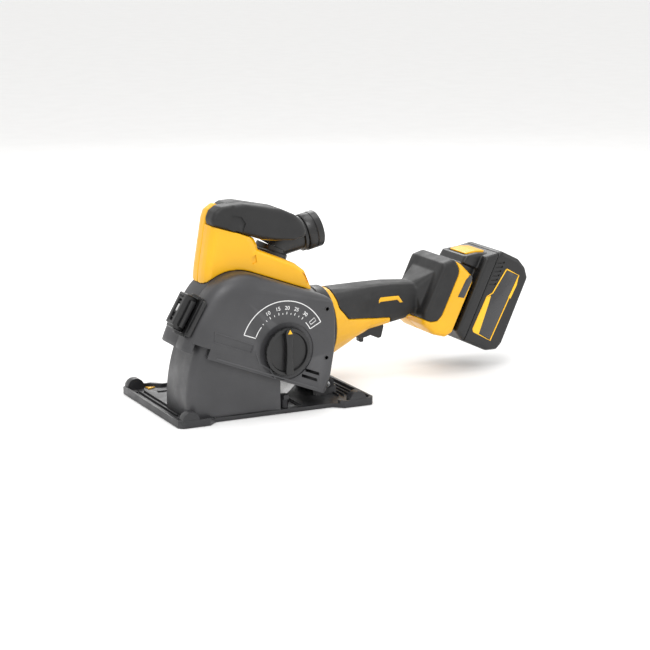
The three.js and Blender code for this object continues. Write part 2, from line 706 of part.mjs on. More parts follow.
function packBody(inset) {
  const block = [
    [6.3, -2],
    [20, -9.5],
    [54, -9.5],
    [66, -4],
    [69, 4],
    [68, 86],
    [60, 95],
    [48, 100.5],
    [24, 101],
    [6.3, 88],
  ];
  return packBlock(block, packNear, packFar, 5, inset);
}
function makeBatteryBase() {
  const neck = packBlock(
    [
      [-27, 2],
      [12, 2],
      [12, 74],
      [-22, 70],
      [-27, 64],
    ],
    7,
    57,
    1.5,
    0,
  );
  const head = packBlock(
    [
      [-14, 71],
      [14, 71],
      [24, 97],
      [2, 89],
      [-13, 80],
    ],
    4,
    60,
    4,
    0,
  );
  const room = packBlock(
    [
      [-10, 8],
      [30, 8],
      [30, 74],
      [-10, 68],
    ],
    11,
    53,
    1,
    0,
  );
  const wellOutline = [
    [-9.3, 79],
    [13.3, 79],
    [13.3, 120],
    [-9.3, 120],
  ];
  const buttonWell = slab(packOutline(wellOutline), 13.5, 50.5);
  const terminalSlot = slab(packOutline([[-30, -5], [-23.5, -5], [-23.5, 42], [-30, 42]]), 15.5, 48.5);
  const baseSide = [
    [-60, -60],
    [BATTERY.split, -60],
    [BATTERY.split, 140],
    [-60, 140],
  ];
  const inside = slab(packOutline(baseSide), -60, 120);
  const body = meet(join(packBody(0), neck, head), inside);
  const reach = slab(packOutline([[10, 0], [40, 0], [40, 79], [10, 79]]), -60, 120);
  const cellSpace = meet(packBody(BATTERY.wall), reach);
  return cut(body, cellSpace, room, buttonWell, terminalSlot);
}
piece("battery_base", makeBatteryBase(), blackPlastic);

function makeBatteryCup() {
  const outside = slab(
    packOutline([[BATTERY.split + GAP, -60], [120, -60], [120, 140], [BATTERY.split + GAP, 140]]),
    -60,
    120,
  );
  return cut(meet(packBody(0), outside), packBody(BATTERY.wall));
}
piece("battery_cup", makeBatteryCup(), blackPlastic);
piece(
  "cell_pack",
  packBlock([[14, 6], [61, 4], [61, 84], [46, 90], [28, 90], [14, 69]], packNear + 5, packFar - 5, 2, 0),
  cellGreen,
);
piece(
  "battery_release_button",
  packBlock([[-9, 82.3], [13, 82.3], [13, 95], [2, 91], [-9, 84]], 14, 50, 1.5, 0),
  yellow,
);

// ---------- front handle ----------
const HANDLE_SEAM_Y = -25;
const guardSkin = softBlock(guardPoints(), -120, 60, 0, -1.5 * GAP);
const POD = [
  [-39, 199],
  [-17.6, 190.4],
  [-5.4, 186.6],
  [9.4, 180.8],
  [26.9, 178.2],
  [49.4, 176.9],
  [60.9, 180.3],
  [62.2, 186],
  [58.4, 195.6],
  [49.6, 203.8],
  [33.3, 211.2],
  [8.6, 215.4],
  [-9.9, 220.2],
  [-22.2, 219.5],
  [-30.4, 214.9],
  [-35.4, 208.5],
];

const COLUMN = [
  [-55, 118],
  [-54.8, 137.5],
  [-53.4, 153],
  [-48.2, 178],
  [-44.6, 205.8],
  [-41.7, 213.4],
  [-33, 219],
  [-24, 214],
  [3, 186],
  [8, 176],
  [11, 160],
  [6, 118],
];

function frontFrame() {
  const column = softBlock(COLUMN, -46, -4, 12);
  const base = slab(
    outline([
      [-50, 120],
      [-50, 160],
      [5, 171],
      [10, 169],
      [48.3, 152.8],
      [60, 143.8],
      [68.1, 124.1],
      [60, 100],
      [-20, 100],
    ]),
    -46,
    -4,
    { bevel: 4, steps: 2 },
  );
  const duct = slab(
    outline([
      [16, 100],
      [16, 166],
      [48.3, 152.8],
      [60, 143.8],
      [68.1, 124.1],
      [60, 100],
    ]),
    -14,
    34,
    { bevel: 4, steps: 2 },
  );
  return cut(join(column, base, duct), guardSkin);
}
// On the near side the soft grip runs forward over the top of the yellow column.
const NOSE = [
  [-45.2, 199.5],
  [-46, 206],
  [-43, 213.4],
  [-36, 218.4],
  [-22, 219.9],
  [-10, 205],
  [-20, 191],
];
const podSeat = join(
  softBlock(POD, -60, 20, 0, -1.5 * GAP),
  softBlock(NOSE, -60, HANDLE_SEAM_Y, 0, -2.5 * GAP),
);
function makeFrontFrame() {
  const whole = cut(frontFrame(), podSeat);
  const overGuard = slab(outline([[24, 90], [24, 156], [46, 146], [60, 138], [60, 90]]), -42, -11);
  const besideGuard = slab(outline([[24, 146], [24, 156], [46, 146], [58, 138], [58, 132]]), -12, 30);
  const portHole = bar([39.3, 14, 137], [52.5, 14, 175], 17.5, 17.5, 24);
  const columnRoom = slab(outline([[-46, 140], [-38, 190], [-4, 178], [-2, 156], [-30, 156]]), -40, -10);
  return cut(whole, overGuard, besideGuard, portHole, columnRoom);
}
const frame = makeFrontFrame();
piece("front_frame_near", meet(frame, box(-200, 200, -100, HANDLE_SEAM_Y - GAP / 2, 0, 300)), yellow);
piece("front_frame_far", meet(frame, box(-200, 200, HANDLE_SEAM_Y + GAP / 2, 100, 0, 300)), yellow);
piece(
  "front_handle_grip",
  join(softBlock(POD, -48, -2, 7), softBlock(NOSE, -48, HANDLE_SEAM_Y - GAP, 4)),
  rubber,
);

// ---------- dust port ----------
const PORT = { base: [44.5, 14, 152], bend: [49, 14, 165], mouth: [101.5, 14, 177], bore: 14.5 };
function makeDustPort() {
  const collarStart = [91, 14, 174.6];
  const stub = bar(PORT.base, PORT.bend, 15, 17, 20);
  const elbow = toSolid(new THREE.SphereGeometry(17, 16, 10).translate(...PORT.bend));
  const tube = bar(PORT.bend, PORT.mouth, 17, 17, 20);
  const flangeRing = bar([80, 14, 172.1], [84, 14, 173], 19.5, 19.5, 20);
  const bore = bar(PORT.bend, [120, 14, 181.2], PORT.bore, PORT.bore, 20);
  const inlet = bar([40, 14, 138], PORT.bend, 12, 12, 16);
  const bend = toSolid(new THREE.SphereGeometry(12.5, 12, 8).translate(...PORT.bend));
  return cut(join(stub, elbow, tube, flangeRing), bore, inlet, bend);
}
piece("dust_port", makeDustPort(), blackPlastic);
function makePortCollar() {
  const from = [85.5, 14, 173.3];
  const to = [103, 14, 177.35];
  return cut(bar(from, to, 20.3, 20.3, 24), bar([80, 14, 172.1], [110, 14, 178.95], 17.6, 17.6, 24));
}
piece("port_collar", makePortCollar(), blackPlastic);

// The part's origin is the middle of its underside.
const bounds = new THREE.Box3().setFromObject(machine);
const centre = bounds.getCenter(new THREE.Vector3());
machine.position.set(-centre.x, -centre.y, -bounds.min.z);
export default machine;
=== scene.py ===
"""Wall chaser: the visual model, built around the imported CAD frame.

Lengths below are millimetres in the drawing frame of the part: x runs to the rear from a point 100 mm
behind the sole's front edge, y = 0 is the middle of the sole, z = 0 is the plane the rollers stand on.
at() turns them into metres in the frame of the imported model.
"""

import json
import math

import bmesh
import bpy
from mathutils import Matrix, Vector


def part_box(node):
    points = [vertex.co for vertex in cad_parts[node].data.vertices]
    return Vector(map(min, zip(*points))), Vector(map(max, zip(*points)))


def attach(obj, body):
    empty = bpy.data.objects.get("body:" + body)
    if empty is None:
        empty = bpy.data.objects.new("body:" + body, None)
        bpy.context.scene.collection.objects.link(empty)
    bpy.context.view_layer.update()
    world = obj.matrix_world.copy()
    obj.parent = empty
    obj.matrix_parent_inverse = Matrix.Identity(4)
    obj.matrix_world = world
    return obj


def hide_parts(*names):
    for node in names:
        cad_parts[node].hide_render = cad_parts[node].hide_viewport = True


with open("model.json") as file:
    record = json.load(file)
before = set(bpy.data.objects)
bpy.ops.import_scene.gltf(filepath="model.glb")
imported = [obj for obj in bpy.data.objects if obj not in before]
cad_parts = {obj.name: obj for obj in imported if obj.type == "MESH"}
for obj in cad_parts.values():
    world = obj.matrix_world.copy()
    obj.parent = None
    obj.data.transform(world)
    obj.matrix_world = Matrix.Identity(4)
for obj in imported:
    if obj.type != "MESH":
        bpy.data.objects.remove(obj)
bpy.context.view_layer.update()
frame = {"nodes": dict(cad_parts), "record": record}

SOLE_FRONT = -100  # the sole's front edge in the drawing frame
SOLE_LOW, SOLE_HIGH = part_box("sole_plate")
ORIGIN = Vector((SOLE_LOW[0] - SOLE_FRONT / 1000, (SOLE_LOW[1] + SOLE_HIGH[1]) / 2, 0))
SLOTS = {part["node"]: part["material_slot"] for part in frame["record"]["subparts"]}


def at(x, y, z):
    """A drawing-frame point in metres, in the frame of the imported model."""
    return ORIGIN + Vector((x, y, z)) / 1000


# ---------- camera, floor and light ----------
VIEW_AZIMUTH, VIEW_ELEVATION = math.radians(26.39), math.radians(12.76)
VIEW_DISTANCE = 2.174
VIEW_TARGET = at(105.43, 0, 71.73)
LENS, SENSOR = 110.8, 36
FLOOR_HALF = 40


def add_camera():
    data = bpy.data.cameras.new("camera")
    data.lens = LENS
    data.sensor_width = SENSOR
    camera = bpy.data.objects.new("camera", data)
    bpy.context.collection.objects.link(camera)
    flat = math.cos(VIEW_ELEVATION)
    left, back = -math.sin(VIEW_AZIMUTH) * flat, -math.cos(VIEW_AZIMUTH) * flat
    away = Vector((left, back, math.sin(VIEW_ELEVATION)))
    camera.location = VIEW_TARGET + away * VIEW_DISTANCE
    camera.rotation_euler = (-away).to_track_quat("-Z", "Y").to_euler()
    bpy.context.scene.camera = camera


def add_area(name, place, aim, size, power):
    data = bpy.data.lights.new(name, "AREA")
    data.shape = "DISK"
    data.size = size
    data.energy = power
    light = bpy.data.objects.new(name, data)
    bpy.context.collection.objects.link(light)
    light.location = place
    light.rotation_euler = (Vector(aim) - Vector(place)).to_track_quat("-Z", "Y").to_euler()


def add_studio():
    world = bpy.data.worlds.new("studio")
    bpy.context.scene.world = world
    world.use_nodes = True
    background = world.node_tree.nodes["Background"]
    background.inputs["Color"].default_value = (1, 0.995, 0.985, 1)
    background.inputs["Strength"].default_value = 1.0
    middle = (0, 0, 0.1)
    add_area("key", (-0.7, -1.1, 1.5), middle, 0.9, 15)
    add_area("fill", (1.4, -1.0, 0.7), middle, 1.2, 3.5)
    add_area("back", (0.4, 1.3, 1.1), middle, 1.0, 9)
    add_area("top", (0.0, 0.1, 1.7), middle, 1.1, 8)
    bpy.context.scene.view_settings.view_transform = "Standard"


def add_floor():
    data = bpy.data.meshes.new("floor")
    corners = [(-1, -1), (1, -1), (1, 1), (-1, 1)]
    data.from_pydata([(x * FLOOR_HALF, y * FLOOR_HALF, 0) for x, y in corners], [], [(0, 1, 2, 3)])
    floor = bpy.data.objects.new("floor", data)
    bpy.context.collection.objects.link(floor)
    data.materials.append(moulded("floor_paper", (0.86, 0.86, 0.86), 0.8, 0.02, 300, vary=0.01))


# ---------- materials ----------
def new_material(name):
    material = bpy.data.materials.new(name)
    material.use_nodes = True
    nodes = material.node_tree.nodes
    return material, nodes, material.node_tree.links, nodes["Principled BSDF"]


def scaled_noise(nodes, links, scale, detail):
    place = nodes.new("ShaderNodeTexCoord")
    noise = nodes.new("ShaderNodeTexNoise")
    noise.inputs["Scale"].default_value = scale
    noise.inputs["Detail"].default_value = detail
    links.new(place.outputs["Object"], noise.inputs["Vector"])
    return noise


def ramp_between(nodes, links, value, low, high, start=0.35, end=0.65):
    ramp = nodes.new("ShaderNodeValToRGB")
    ramp.color_ramp.elements[0].position = start
    ramp.color_ramp.elements[1].position = end
    ramp.color_ramp.elements[0].color = (*low, 1)
    ramp.color_ramp.elements[1].color = (*high, 1)
    links.new(value, ramp.inputs["Fac"])
    return ramp.outputs["Color"]


DRIFT_SCALE, PATCH_SCALE = 18, 60  # slow changes of colour and of gloss
GLOSS_SPREAD = 0.07
EDGE_WEAR = 0.45
GRAIN_DEPTH = 0.0004


def moulded(name, color, roughness, grain, grain_scale, metallic=0.0, vary=0.12, coat=0.0):
    """Moulded or coated surface: slow colour drift, patchy gloss, fine grain and slightly worn edges."""
    material, nodes, links, shader = new_material(name)
    drift = scaled_noise(nodes, links, DRIFT_SCALE, 4)
    dark = tuple(c * (1 - vary) for c in color)
    light = tuple(min(1, c * (1 + vary)) for c in color)
    base = ramp_between(nodes, links, drift.outputs["Fac"], dark, light)
    geometry = nodes.new("ShaderNodeNewGeometry")
    edge = ramp_between(nodes, links, geometry.outputs["Pointiness"], (0, 0, 0), (1, 1, 1), 0.53, 0.62)
    worn = nodes.new("ShaderNodeMix")
    worn.data_type = "RGBA"
    worn.inputs["B"].default_value = (*(min(1, c * 1.5 + 0.02) for c in color), 1)
    weight = nodes.new("ShaderNodeMath")
    weight.operation = "MULTIPLY"
    weight.inputs[1].default_value = EDGE_WEAR
    links.new(edge, weight.inputs[0])
    links.new(weight.outputs[0], worn.inputs["Factor"])
    links.new(base, worn.inputs["A"])
    links.new(worn.outputs["Result"], shader.inputs["Base Color"])
    patch = scaled_noise(nodes, links, PATCH_SCALE, 5)
    low, high = max(0.05, roughness - GLOSS_SPREAD), min(1, roughness + GLOSS_SPREAD)
    rough = ramp_between(nodes, links, patch.outputs["Fac"], (low,) * 3, (high,) * 3)
    links.new(rough, shader.inputs["Roughness"])
    fine = scaled_noise(nodes, links, grain_scale, 2)
    bump = nodes.new("ShaderNodeBump")
    bump.inputs["Strength"].default_value = grain
    bump.inputs["Distance"].default_value = GRAIN_DEPTH
    links.new(fine.outputs["Fac"], bump.inputs["Height"])
    links.new(bump.outputs["Normal"], shader.inputs["Normal"])
    shader.inputs["Metallic"].default_value = metallic
    shader.inputs["Coat Weight"].default_value = coat
    return material


def turned_steel(name, color=(0.56, 0.57, 0.58), roughness=0.3):
    """Machined steel: fine stretched lines in its colour and gloss."""
    material, nodes, links, shader = new_material(name)
    place = nodes.new("ShaderNodeTexCoord")
    stretch = nodes.new("ShaderNodeMapping")
    stretch.inputs["Scale"].default_value = (900, 60, 900)
    lines = nodes.new("ShaderNodeTexNoise")
    lines.inputs["Scale"].default_value = 2
    links.new(place.outputs["Object"], stretch.inputs["Vector"])
    links.new(stretch.outputs["Vector"], lines.inputs["Vector"])
    dark = tuple(c * 0.8 for c in color)
    links.new(ramp_between(nodes, links, lines.outputs["Fac"], dark, color), shader.inputs["Base Color"])
    smooth, dull = (roughness - 0.08,) * 3, (roughness + 0.1,) * 3
    rough = ramp_between(nodes, links, lines.outputs["Fac"], smooth, dull)
    links.new(rough, shader.inputs["Roughness"])
    shader.inputs["Metallic"].default_value = 1
    return material


MATERIALS = {
    "cast_sole": moulded("sole_coating", (0.020, 0.020, 0.022), 0.42, 0.12, 900, 0.1),
    "guard_paint": moulded("guard_coating", (0.046, 0.046, 0.049), 0.42, 0.10, 1400, 0.15),
    "yellow_shell": moulded("yellow_plastic", (0.78, 0.40, 0.003), 0.36, 0.04, 1500, vary=0.05),
    "black_shell": moulded("black_plastic", (0.007, 0.007, 0.0075), 0.36, 0.06, 1500),
    "black_rubber": moulded("grip_rubber", (0.0065, 0.0065, 0.007), 0.55, 0.25, 1100),
    "bare_steel": turned_steel("turned_steel"),
    "blade_steel": turned_steel("blade_steel", (0.5, 0.5, 0.5), 0.35),
    "gear_alloy": moulded("gear_case_coating", (0.014, 0.014, 0.016), 0.38, 0.15, 700, 0.3),
    "windings": moulded("enamelled_copper", (0.45, 0.16, 0.05), 0.35, 0.4, 300, 0.8),
    "pale_plastic": moulded("pale_plastic", (0.42, 0.42, 0.42), 0.4, 0.05, 1500),
    "cells": moulded("cell_sleeve", (0.03, 0.16, 0.12), 0.35, 0.05, 900),
}
white_print = moulded("white_print", (0.62, 0.62, 0.62), 0.5, 0.02, 1500, vary=0.04)
badge_face = moulded("badge_face", (0.018, 0.018, 0.020), 0.3, 0.02, 1500, coat=0.4)


def dress_cad_nodes():
    """Every CAD node that stays on show takes the material of its record slot."""
    for name, node in frame["nodes"].items():
        node.data.materials.clear()
        node.data.materials.append(MATERIALS[SLOTS[name]])


# ---------- mesh tools ----------
def mesh_object(name, vertices, faces):
    """A mesh from drawing-frame points, its faces turned outwards."""
    data = bpy.data.meshes.new(name)
    data.from_pydata([at(*v) for v in vertices], [], faces)
    obj = bpy.data.objects.new(name, data)
    bpy.context.collection.objects.link(obj)
    turn_outwards(obj)
    return obj


def turn_outwards(obj):
    bm = bmesh.new()
    bm.from_mesh(obj.data)
    bmesh.ops.recalc_face_normals(bm, faces=bm.faces)
    bm.to_mesh(obj.data)
    bm.free()


def apply_modifiers(obj):
    graph = bpy.context.evaluated_depsgraph_get()
    made = bpy.data.meshes.new_from_object(obj.evaluated_get(graph))
    obj.modifiers.clear()
    obj.data = made
    return obj


def modify(obj, kind, **values):
    modifier = obj.modifiers.new(kind, kind)
    for key, value in values.items():
        setattr(modifier, key, value)
    return apply_modifiers(obj)


def bevel(obj, width, segments=2, angle=32):
    return modify(
        obj,
        "BEVEL",
        width=width / 1000,
        segments=segments,
        limit_method="ANGLE",
        angle_limit=math.radians(angle),
        use_clamp_overlap=True,
    )


def cut(obj, *tools):
    for tool in tools:
        modify(obj, "BOOLEAN", operation="DIFFERENCE", solver="EXACT", object=tool)
        bpy.data.objects.remove(tool)
    return obj


def merged(name, *objs):
    """Several meshes as one object, each keeping its own shell."""
    bm = bmesh.new()
    for obj in objs:
        bm.from_mesh(obj.data)
        bpy.data.objects.remove(obj)
    data = bpy.data.meshes.new(name)
    bm.to_mesh(data)
    bm.free()
    result = bpy.data.objects.new(name, data)
    bpy.context.collection.objects.link(result)
    return result


def prism(name, points, y0, y1):
    """An XZ outline swept across y."""
    n = len(points)
    vertices = [(x, y, z) for y in (y0, y1) for x, z in points]
    sides = [(i, (i + 1) % n, n + (i + 1) % n, n + i) for i in range(n)]
    return mesh_object(name, vertices, [*sides, tuple(range(n))[::-1], tuple(range(n, 2 * n))])


def skin(name, rings, loop=False):
    """Faces between rings that have the same number of points, closed at both ends or into a loop."""
    n = len(rings[0])
    vertices = [p for ring in rings for p in ring]
    faces = []
    for r in range(len(rings) if loop else len(rings) - 1):
        a, b = r * n, ((r + 1) % len(rings)) * n
        faces += [(a + i, a + (i + 1) % n, b + (i + 1) % n, b + i) for i in range(n)]
    if not loop:
        last = (len(rings) - 1) * n
        faces += [tuple(range(n))[::-1], tuple(range(last, last + n))]
    return mesh_object(name, vertices, faces)


def basis(direction):
    """The direction as a unit vector, and two more square to it."""
    along = Vector(direction).normalized()
    side = along.cross(Vector((0, 0, 1)) if abs(along.z) < 0.9 else Vector((1, 0, 0))).normalized()
    return along, side, along.cross(side)


def turned(name, centre, direction, profile, segments=72, closed=False):
    """A profile of (distance along, radius) turned about an axis. A closed profile makes a ring."""
    along, side, up = basis(direction)
    start = Vector(centre)
    rings = []
    for reach, radius in profile:
        ring = []
        for i in range(segments):
            angle = 2 * math.pi * i / segments
            out = side * math.cos(angle) + up * math.sin(angle)
            ring.append(tuple(start + along * reach + out * radius))
        rings.append(ring)
    return skin(name, rings, loop=closed)


def node_copy(name, node):
    """A copy of a CAD node's mesh with its flat faces joined up, as a start for a finer piece."""
    data = frame["nodes"][node].data.copy()
    data.name = name
    obj = bpy.data.objects.new(name, data)
    bpy.context.collection.objects.link(obj)
    bm = bmesh.new()
    bm.from_mesh(data)
    bmesh.ops.remove_doubles(bm, verts=bm.verts, dist=2e-6)
    bmesh.ops.dissolve_limit(bm, angle_limit=math.radians(1), verts=bm.verts, edges=bm.edges)
    bm.to_mesh(data)
    bm.free()
    return obj


def smoothed(obj, voxel, rounds):
    """Rounds every edge of a closed mesh by remeshing it finely and relaxing it."""
    modify(obj, "REMESH", mode="VOXEL", voxel_size=voxel / 1000, adaptivity=0.0)
    return modify(obj, "SMOOTH", factor=0.5, iterations=rounds)


def show(obj, slot, body, replaces=(), material=None, angle=38):
    """Gives a finished mesh its surface, its body and the CAD nodes that it stands for."""
    for polygon in obj.data.polygons:
        polygon.use_smooth = True
    obj.data.set_sharp_from_angle(angle=math.radians(angle))
    obj.data.materials.clear()
    obj.data.materials.append(material or MATERIALS[slot])
    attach(obj, body)
    if replaces:
        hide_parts(*replaces)
    return obj


def arc(centre, radius, start, end, count):
    """Points of an arc in degrees, from the +x side towards +z."""
    angles = [math.radians(start + (end - start) * i / count) for i in range(count + 1)]
    return [(centre[0] + radius * math.cos(a), centre[1] + radius * math.sin(a)) for a in angles]


def grown(points, amount):
    """A closed outline moved outwards by amount, or inwards where it is negative."""
    n = len(points)
    area = sum(x0 * z1 - x1 * z0 for (x0, z0), (x1, z1) in zip(points, points[1:] + points[:1]))
    sign = 1 if area > 0 else -1
    moved = []
    for i in range(n):
        a, b, c = (Vector(points[k % n]) for k in (i - 1, i, i + 1))
        first, second = (b - a).normalized(), (c - b).normalized()
        normals = [Vector((v.y, -v.x)) * sign for v in (first, second)]
        bisector = (normals[0] + normals[1]).normalized()
        moved.append(tuple(b + bisector * (amount / max(0.35, bisector.dot(normals[0])))))
    return moved


def around(count, start=0):
    """Cosine and sine of evenly spaced angles over a full turn, from start degrees."""
    angles = [math.radians(start + 360 / count * i) for i in range(count)]
    return [(math.cos(a), math.sin(a)) for a in angles]


# ---------- guard ----------
PIVOT = (88, 16)
GUARD_RADIUS = 188
CROWN = (-21, 102)
CROWN_RADIUS = GUARD_RADIUS - math.dist(PIVOT, CROWN)
CROWN_START = math.degrees(math.atan2(CROWN[1] - PIVOT[1], CROWN[0] - PIVOT[0]))
EDGE_START, EDGE_SLOPE = (-65.1, 68.6), -0.388
COVER_FACE, SPLIT, FAR_FACE = -77, -47, -8
SPLIT_GAP = 0.15  # each half stands this far back from the split
SHELL_WALL = 2.4
FULL_PLUNGE = 21.5
KNOB = (23, 67.8)
KNOB_HUB = 9
SPINDLE = (-5, 67.5)
LATCH_ANGLE = 150
HINGE_X, HINGE_Y = 86.8, -47
HINGE_PIN, HINGE_BARREL = 2, 3.6
BEFORE, BEHIND = -90, -60  # y of cutting tools that run through the cover's face


def edge_height(x):
    """Height of the guard's straight lower edge."""
    return EDGE_START[1] + EDGE_SLOPE * (x - EDGE_START[0])


def guard_outline():
    """The guard seen from the dial side, running from the lower front round to the lower rear."""
    front = arc(PIVOT, GUARD_RADIUS - 0.15, 180, CROWN_START, 26)
    crown = arc(CROWN, CROWN_RADIUS - 0.15, CROWN_START, 69.3, 26)[1:]
    rear = [(75.0, 119.0), (78.6, 116.4), (80.4, 112), (81.8, 103), (82.4, 94)]
    rear += [(82.2, 80), (81.4, 62), (77, 37), (73, 15)]
    return [*front, *crown, *rear]


FRONT_X, REAR_X = -20, 74
FRONT_FILLET, REAR_FILLET, EDGE_FILLET = 22, 12, 5


def cover_fillet(x):
    """How far the cover's rounding runs in from the outline: deep at the front, shallow at the rear."""
    if x > REAR_X:
        return EDGE_FILLET
    if x < FRONT_X:
        return FRONT_FILLET
    return FRONT_FILLET - (FRONT_FILLET - REAR_FILLET) * (x - FRONT_X) / (REAR_X - FRONT_X)


def guard_shell(name, y_open, y_face, fillet, depth):
    """Half of the guard as a shell: open at the split and along the lower edge, rounded into its side face.

    fillet(x) is how far the rounding runs in from the outline, and depth how far it runs along y."""
    outline = guard_outline()
    side = 1 if y_face > y_open else -1
    closed = [*outline, (66, -20), (50, -60), (-100, -60)]
    unit = grown(closed, -1)[: len(outline)]
    rings = [[(x, y_open, z) for x, z in outline]]
    rounds = 9
    for i in range(rounds + 1):
        angle = math.pi / 2 * i / rounds
        y = y_face - side * depth * (1 - math.sin(angle))
        ring = []
        for (x, z), (inner_x, inner_z) in zip(outline, unit):
            inset = fillet(x) * (1 - math.cos(angle))
            ring.append((x + (inner_x - x) * inset, y, z + (inner_z - z) * inset))
        rings.append(ring)
    n = len(outline)
    vertices = [p for ring in rings for p in ring]
    faces = []
    for a in range(0, (len(rings) - 1) * n, n):
        faces += [(a + i, a + i + 1, a + n + i + 1, a + n + i) for i in range(n - 1)]
    faces.append(tuple(range((len(rings) - 1) * n, len(rings) * n)))
    shell = mesh_object(name, vertices, faces)
    bm = bmesh.new()
    bm.from_mesh(shell.data)
    bmesh.ops.bisect_plane(
        bm,
        geom=[*bm.verts, *bm.edges, *bm.faces],
        plane_co=at(EDGE_START[0], 0, EDGE_START[1]),
        plane_no=Vector((EDGE_SLOPE, 0, -1)),
        clear_outer=True,
    )
    bm.normal_update()
    face = max(bm.faces, key=lambda f: f.calc_area())
    if face.normal.y * side < 0:
        bmesh.ops.reverse_faces(bm, faces=bm.faces)
    bm.to_mesh(shell.data)
    bm.free()
    return modify(shell, "SOLIDIFY", thickness=SHELL_WALL / 1000, offset=-1)


def disc_tool(centre, y0, y1, radius):
    """A round bar along y, used to cut holes."""
    return turned("tool", (centre[0], y0, centre[1]), (0, 1, 0), [(0, radius), (y1 - y0, radius)], 64)


def strip(name, path, width, y, height=0.25):
    """A thin printed or raised line along a path on a face that looks towards -y."""
    n = len(path)
    left, right = [], []
    for i, p in enumerate(path):
        before, after = Vector(path[max(0, i - 1)]), Vector(path[min(n - 1, i + 1)])
        normal = (after - before).normalized().orthogonal() * (width / 2)
        left.append((p[0] + normal.x, p[1] + normal.y))
        right.append((p[0] - normal.x, p[1] - normal.y))
    return prism(name, [*left, *right[::-1]], y - height, y)


def roller_notch():
    """Room for the front roller's boss in the cover's lower corner at full plunge."""
    cosine, sine = math.cos(math.radians(FULL_PLUNGE)), math.sin(math.radians(FULL_PLUNGE))
    corners = []
    for x, z in ((-130, -30), (-74.8, -30), (-74.8, 19.2), (-130, 19.2)):
        dx, dz = x - PIVOT[0], z - PIVOT[1]
        corners.append((PIVOT[0] + dx * cosine + dz * sine, PIVOT[1] - dx * sine + dz * cosine))
    return prism("tool", corners, BEFORE, -71.3)


def make_guard_cover():
    """The near half of the guard: a sunk ring for the dial, two vents, a sunk panel and two cut corners."""
    cover = guard_shell("cover", SPLIT - SPLIT_GAP, COVER_FACE, cover_fillet, 15)
    moat = disc_tool(KNOB, BEFORE, COVER_FACE + 1.5, 30.5)
    hub = disc_tool(KNOB, BEFORE, BEHIND, KNOB_HUB + 0.3)
    half = 1.7
    vents = [
        prism("tool", [(x0, z0 - half), (x1, z1 - half), (x1, z1 + half), (x0, z0 + half)], BEFORE, BEHIND)
        for x0, z0, x1, z1 in ((44.4, 45.5, 60.6, 39.2), (40.3, 40, 58.3, 32.8))
    ]
    sunk = grown([(-57, 95.5), (-14.5, 77.8), (-18, 70.2), (-57.5, 86)], -0.3)
    panel = prism("tool", sunk, COVER_FACE - 3, COVER_FACE + 0.5)
    cut(cover, moat, hub, *vents, panel, roller_notch())
    rear_corner = [(55, -10), (80, -10), (80, 18), (55, 18)]
    cut(cover, prism("tool", rear_corner, BEFORE, SPLIT + 1))
    bevel(cover, 0.35)
    show(cover, "guard_paint", "cover", ["guard_cover"])


def block_on_front(name, r0, r1, along0, along1, y0, y1):
    """A block on the guard's rounded front: distance from the pivot, reach along the front, and y."""
    angle = math.radians(LATCH_ANGLE)
    out = Vector((math.cos(angle), math.sin(angle)))
    up = Vector((out.y, -out.x))
    corners = [(r0, along0), (r0, along1), (r1, along1), (r1, along0)]
    points = [tuple(Vector(PIVOT) + out * r + up * a) for r, a in corners]
    return prism(name, points, y0, y1)


def hinge_knuckle(name, low, high):
    """A short tube about the cover's hinge pin, with chamfered ends."""
    length = high - low
    chamfer = HINGE_BARREL - 0.6
    profile = [(0, HINGE_PIN), (0, chamfer), (0.6, HINGE_BARREL)]
    profile += [(length - 0.6, HINGE_BARREL), (length, chamfer), (length, HINGE_PIN)]
    return turned(name, (HINGE_X, HINGE_Y, low), (0, 0, 1), profile, 32, True)


def make_guard_body():
    """The far half of the guard, with the plunge arm, the stop lip, the joint's rim and two knuckles."""
    body = guard_shell("guard", SPLIT + SPLIT_GAP, FAR_FACE, lambda x: EDGE_FILLET, 6)
    cap_hole = disc_tool(SPINDLE, -20, 0, 21.8)
    dust = prism("tool", [(28, 160), (64, 160), (64, 100), (28, 100)], -40, -14)
    cut(body, cap_hole, dust)
    bevel(body, 0.35)
    arm = prism("arm", [(76, 30), (88, 25.5), (96, 20), (90, 8.2), (74.5, 12)], -29, 5)
    bevel(arm, 1.2, 3)
    hub = [(0, 4.3), (0, 8), (1, 9), (35, 9), (36, 8), (36, 4.3)]
    barrel = turned("barrel", (PIVOT[0], -30, PIVOT[1]), (0, 1, 0), hub, 48, True)
    lip_line = [*arc(PIVOT, 187.4, 160.6, 154.2, 8), *arc(PIVOT, 175.8, 154.2, 160.6, 8)]
    lip = bevel(prism("lip", lip_line, SPLIT + 0.2, FAR_FACE - 0.8), 0.8)
    outer, inner = grown(guard_outline(), -2.6), grown(guard_outline(), -4.6)
    above = [i for i in range(3, 60) if outer[i][1] > edge_height(outer[i][0]) + 3]
    rim_line = [*(outer[i] for i in above), *(inner[i] for i in above[::-1])]
    joint_rim = prism("joint_rim", rim_line, SPLIT + 0.2, SPLIT + 3)
    pieces = [body, arm, barrel, lip, joint_rim]
    for low, high in ((52, 61.7), (78.3, 88)):
        pieces.append(hinge_knuckle("knuckle", low, high))
        lug = mesh_object(
            "lug",
            [(x, y, z) for x in (80.2, 86) for y in (-46.6, -43.6) for z in (low + 0.4, high - 0.4)],
            [(0, 1, 3, 2), (4, 6, 7, 5), (0, 4, 5, 1), (2, 3, 7, 6), (0, 2, 6, 4), (1, 5, 7, 3)],
        )
        pieces.append(bevel(lug, 0.5))
    show(merged("guard", *pieces), "guard_paint", "machine", ["guard_body"])


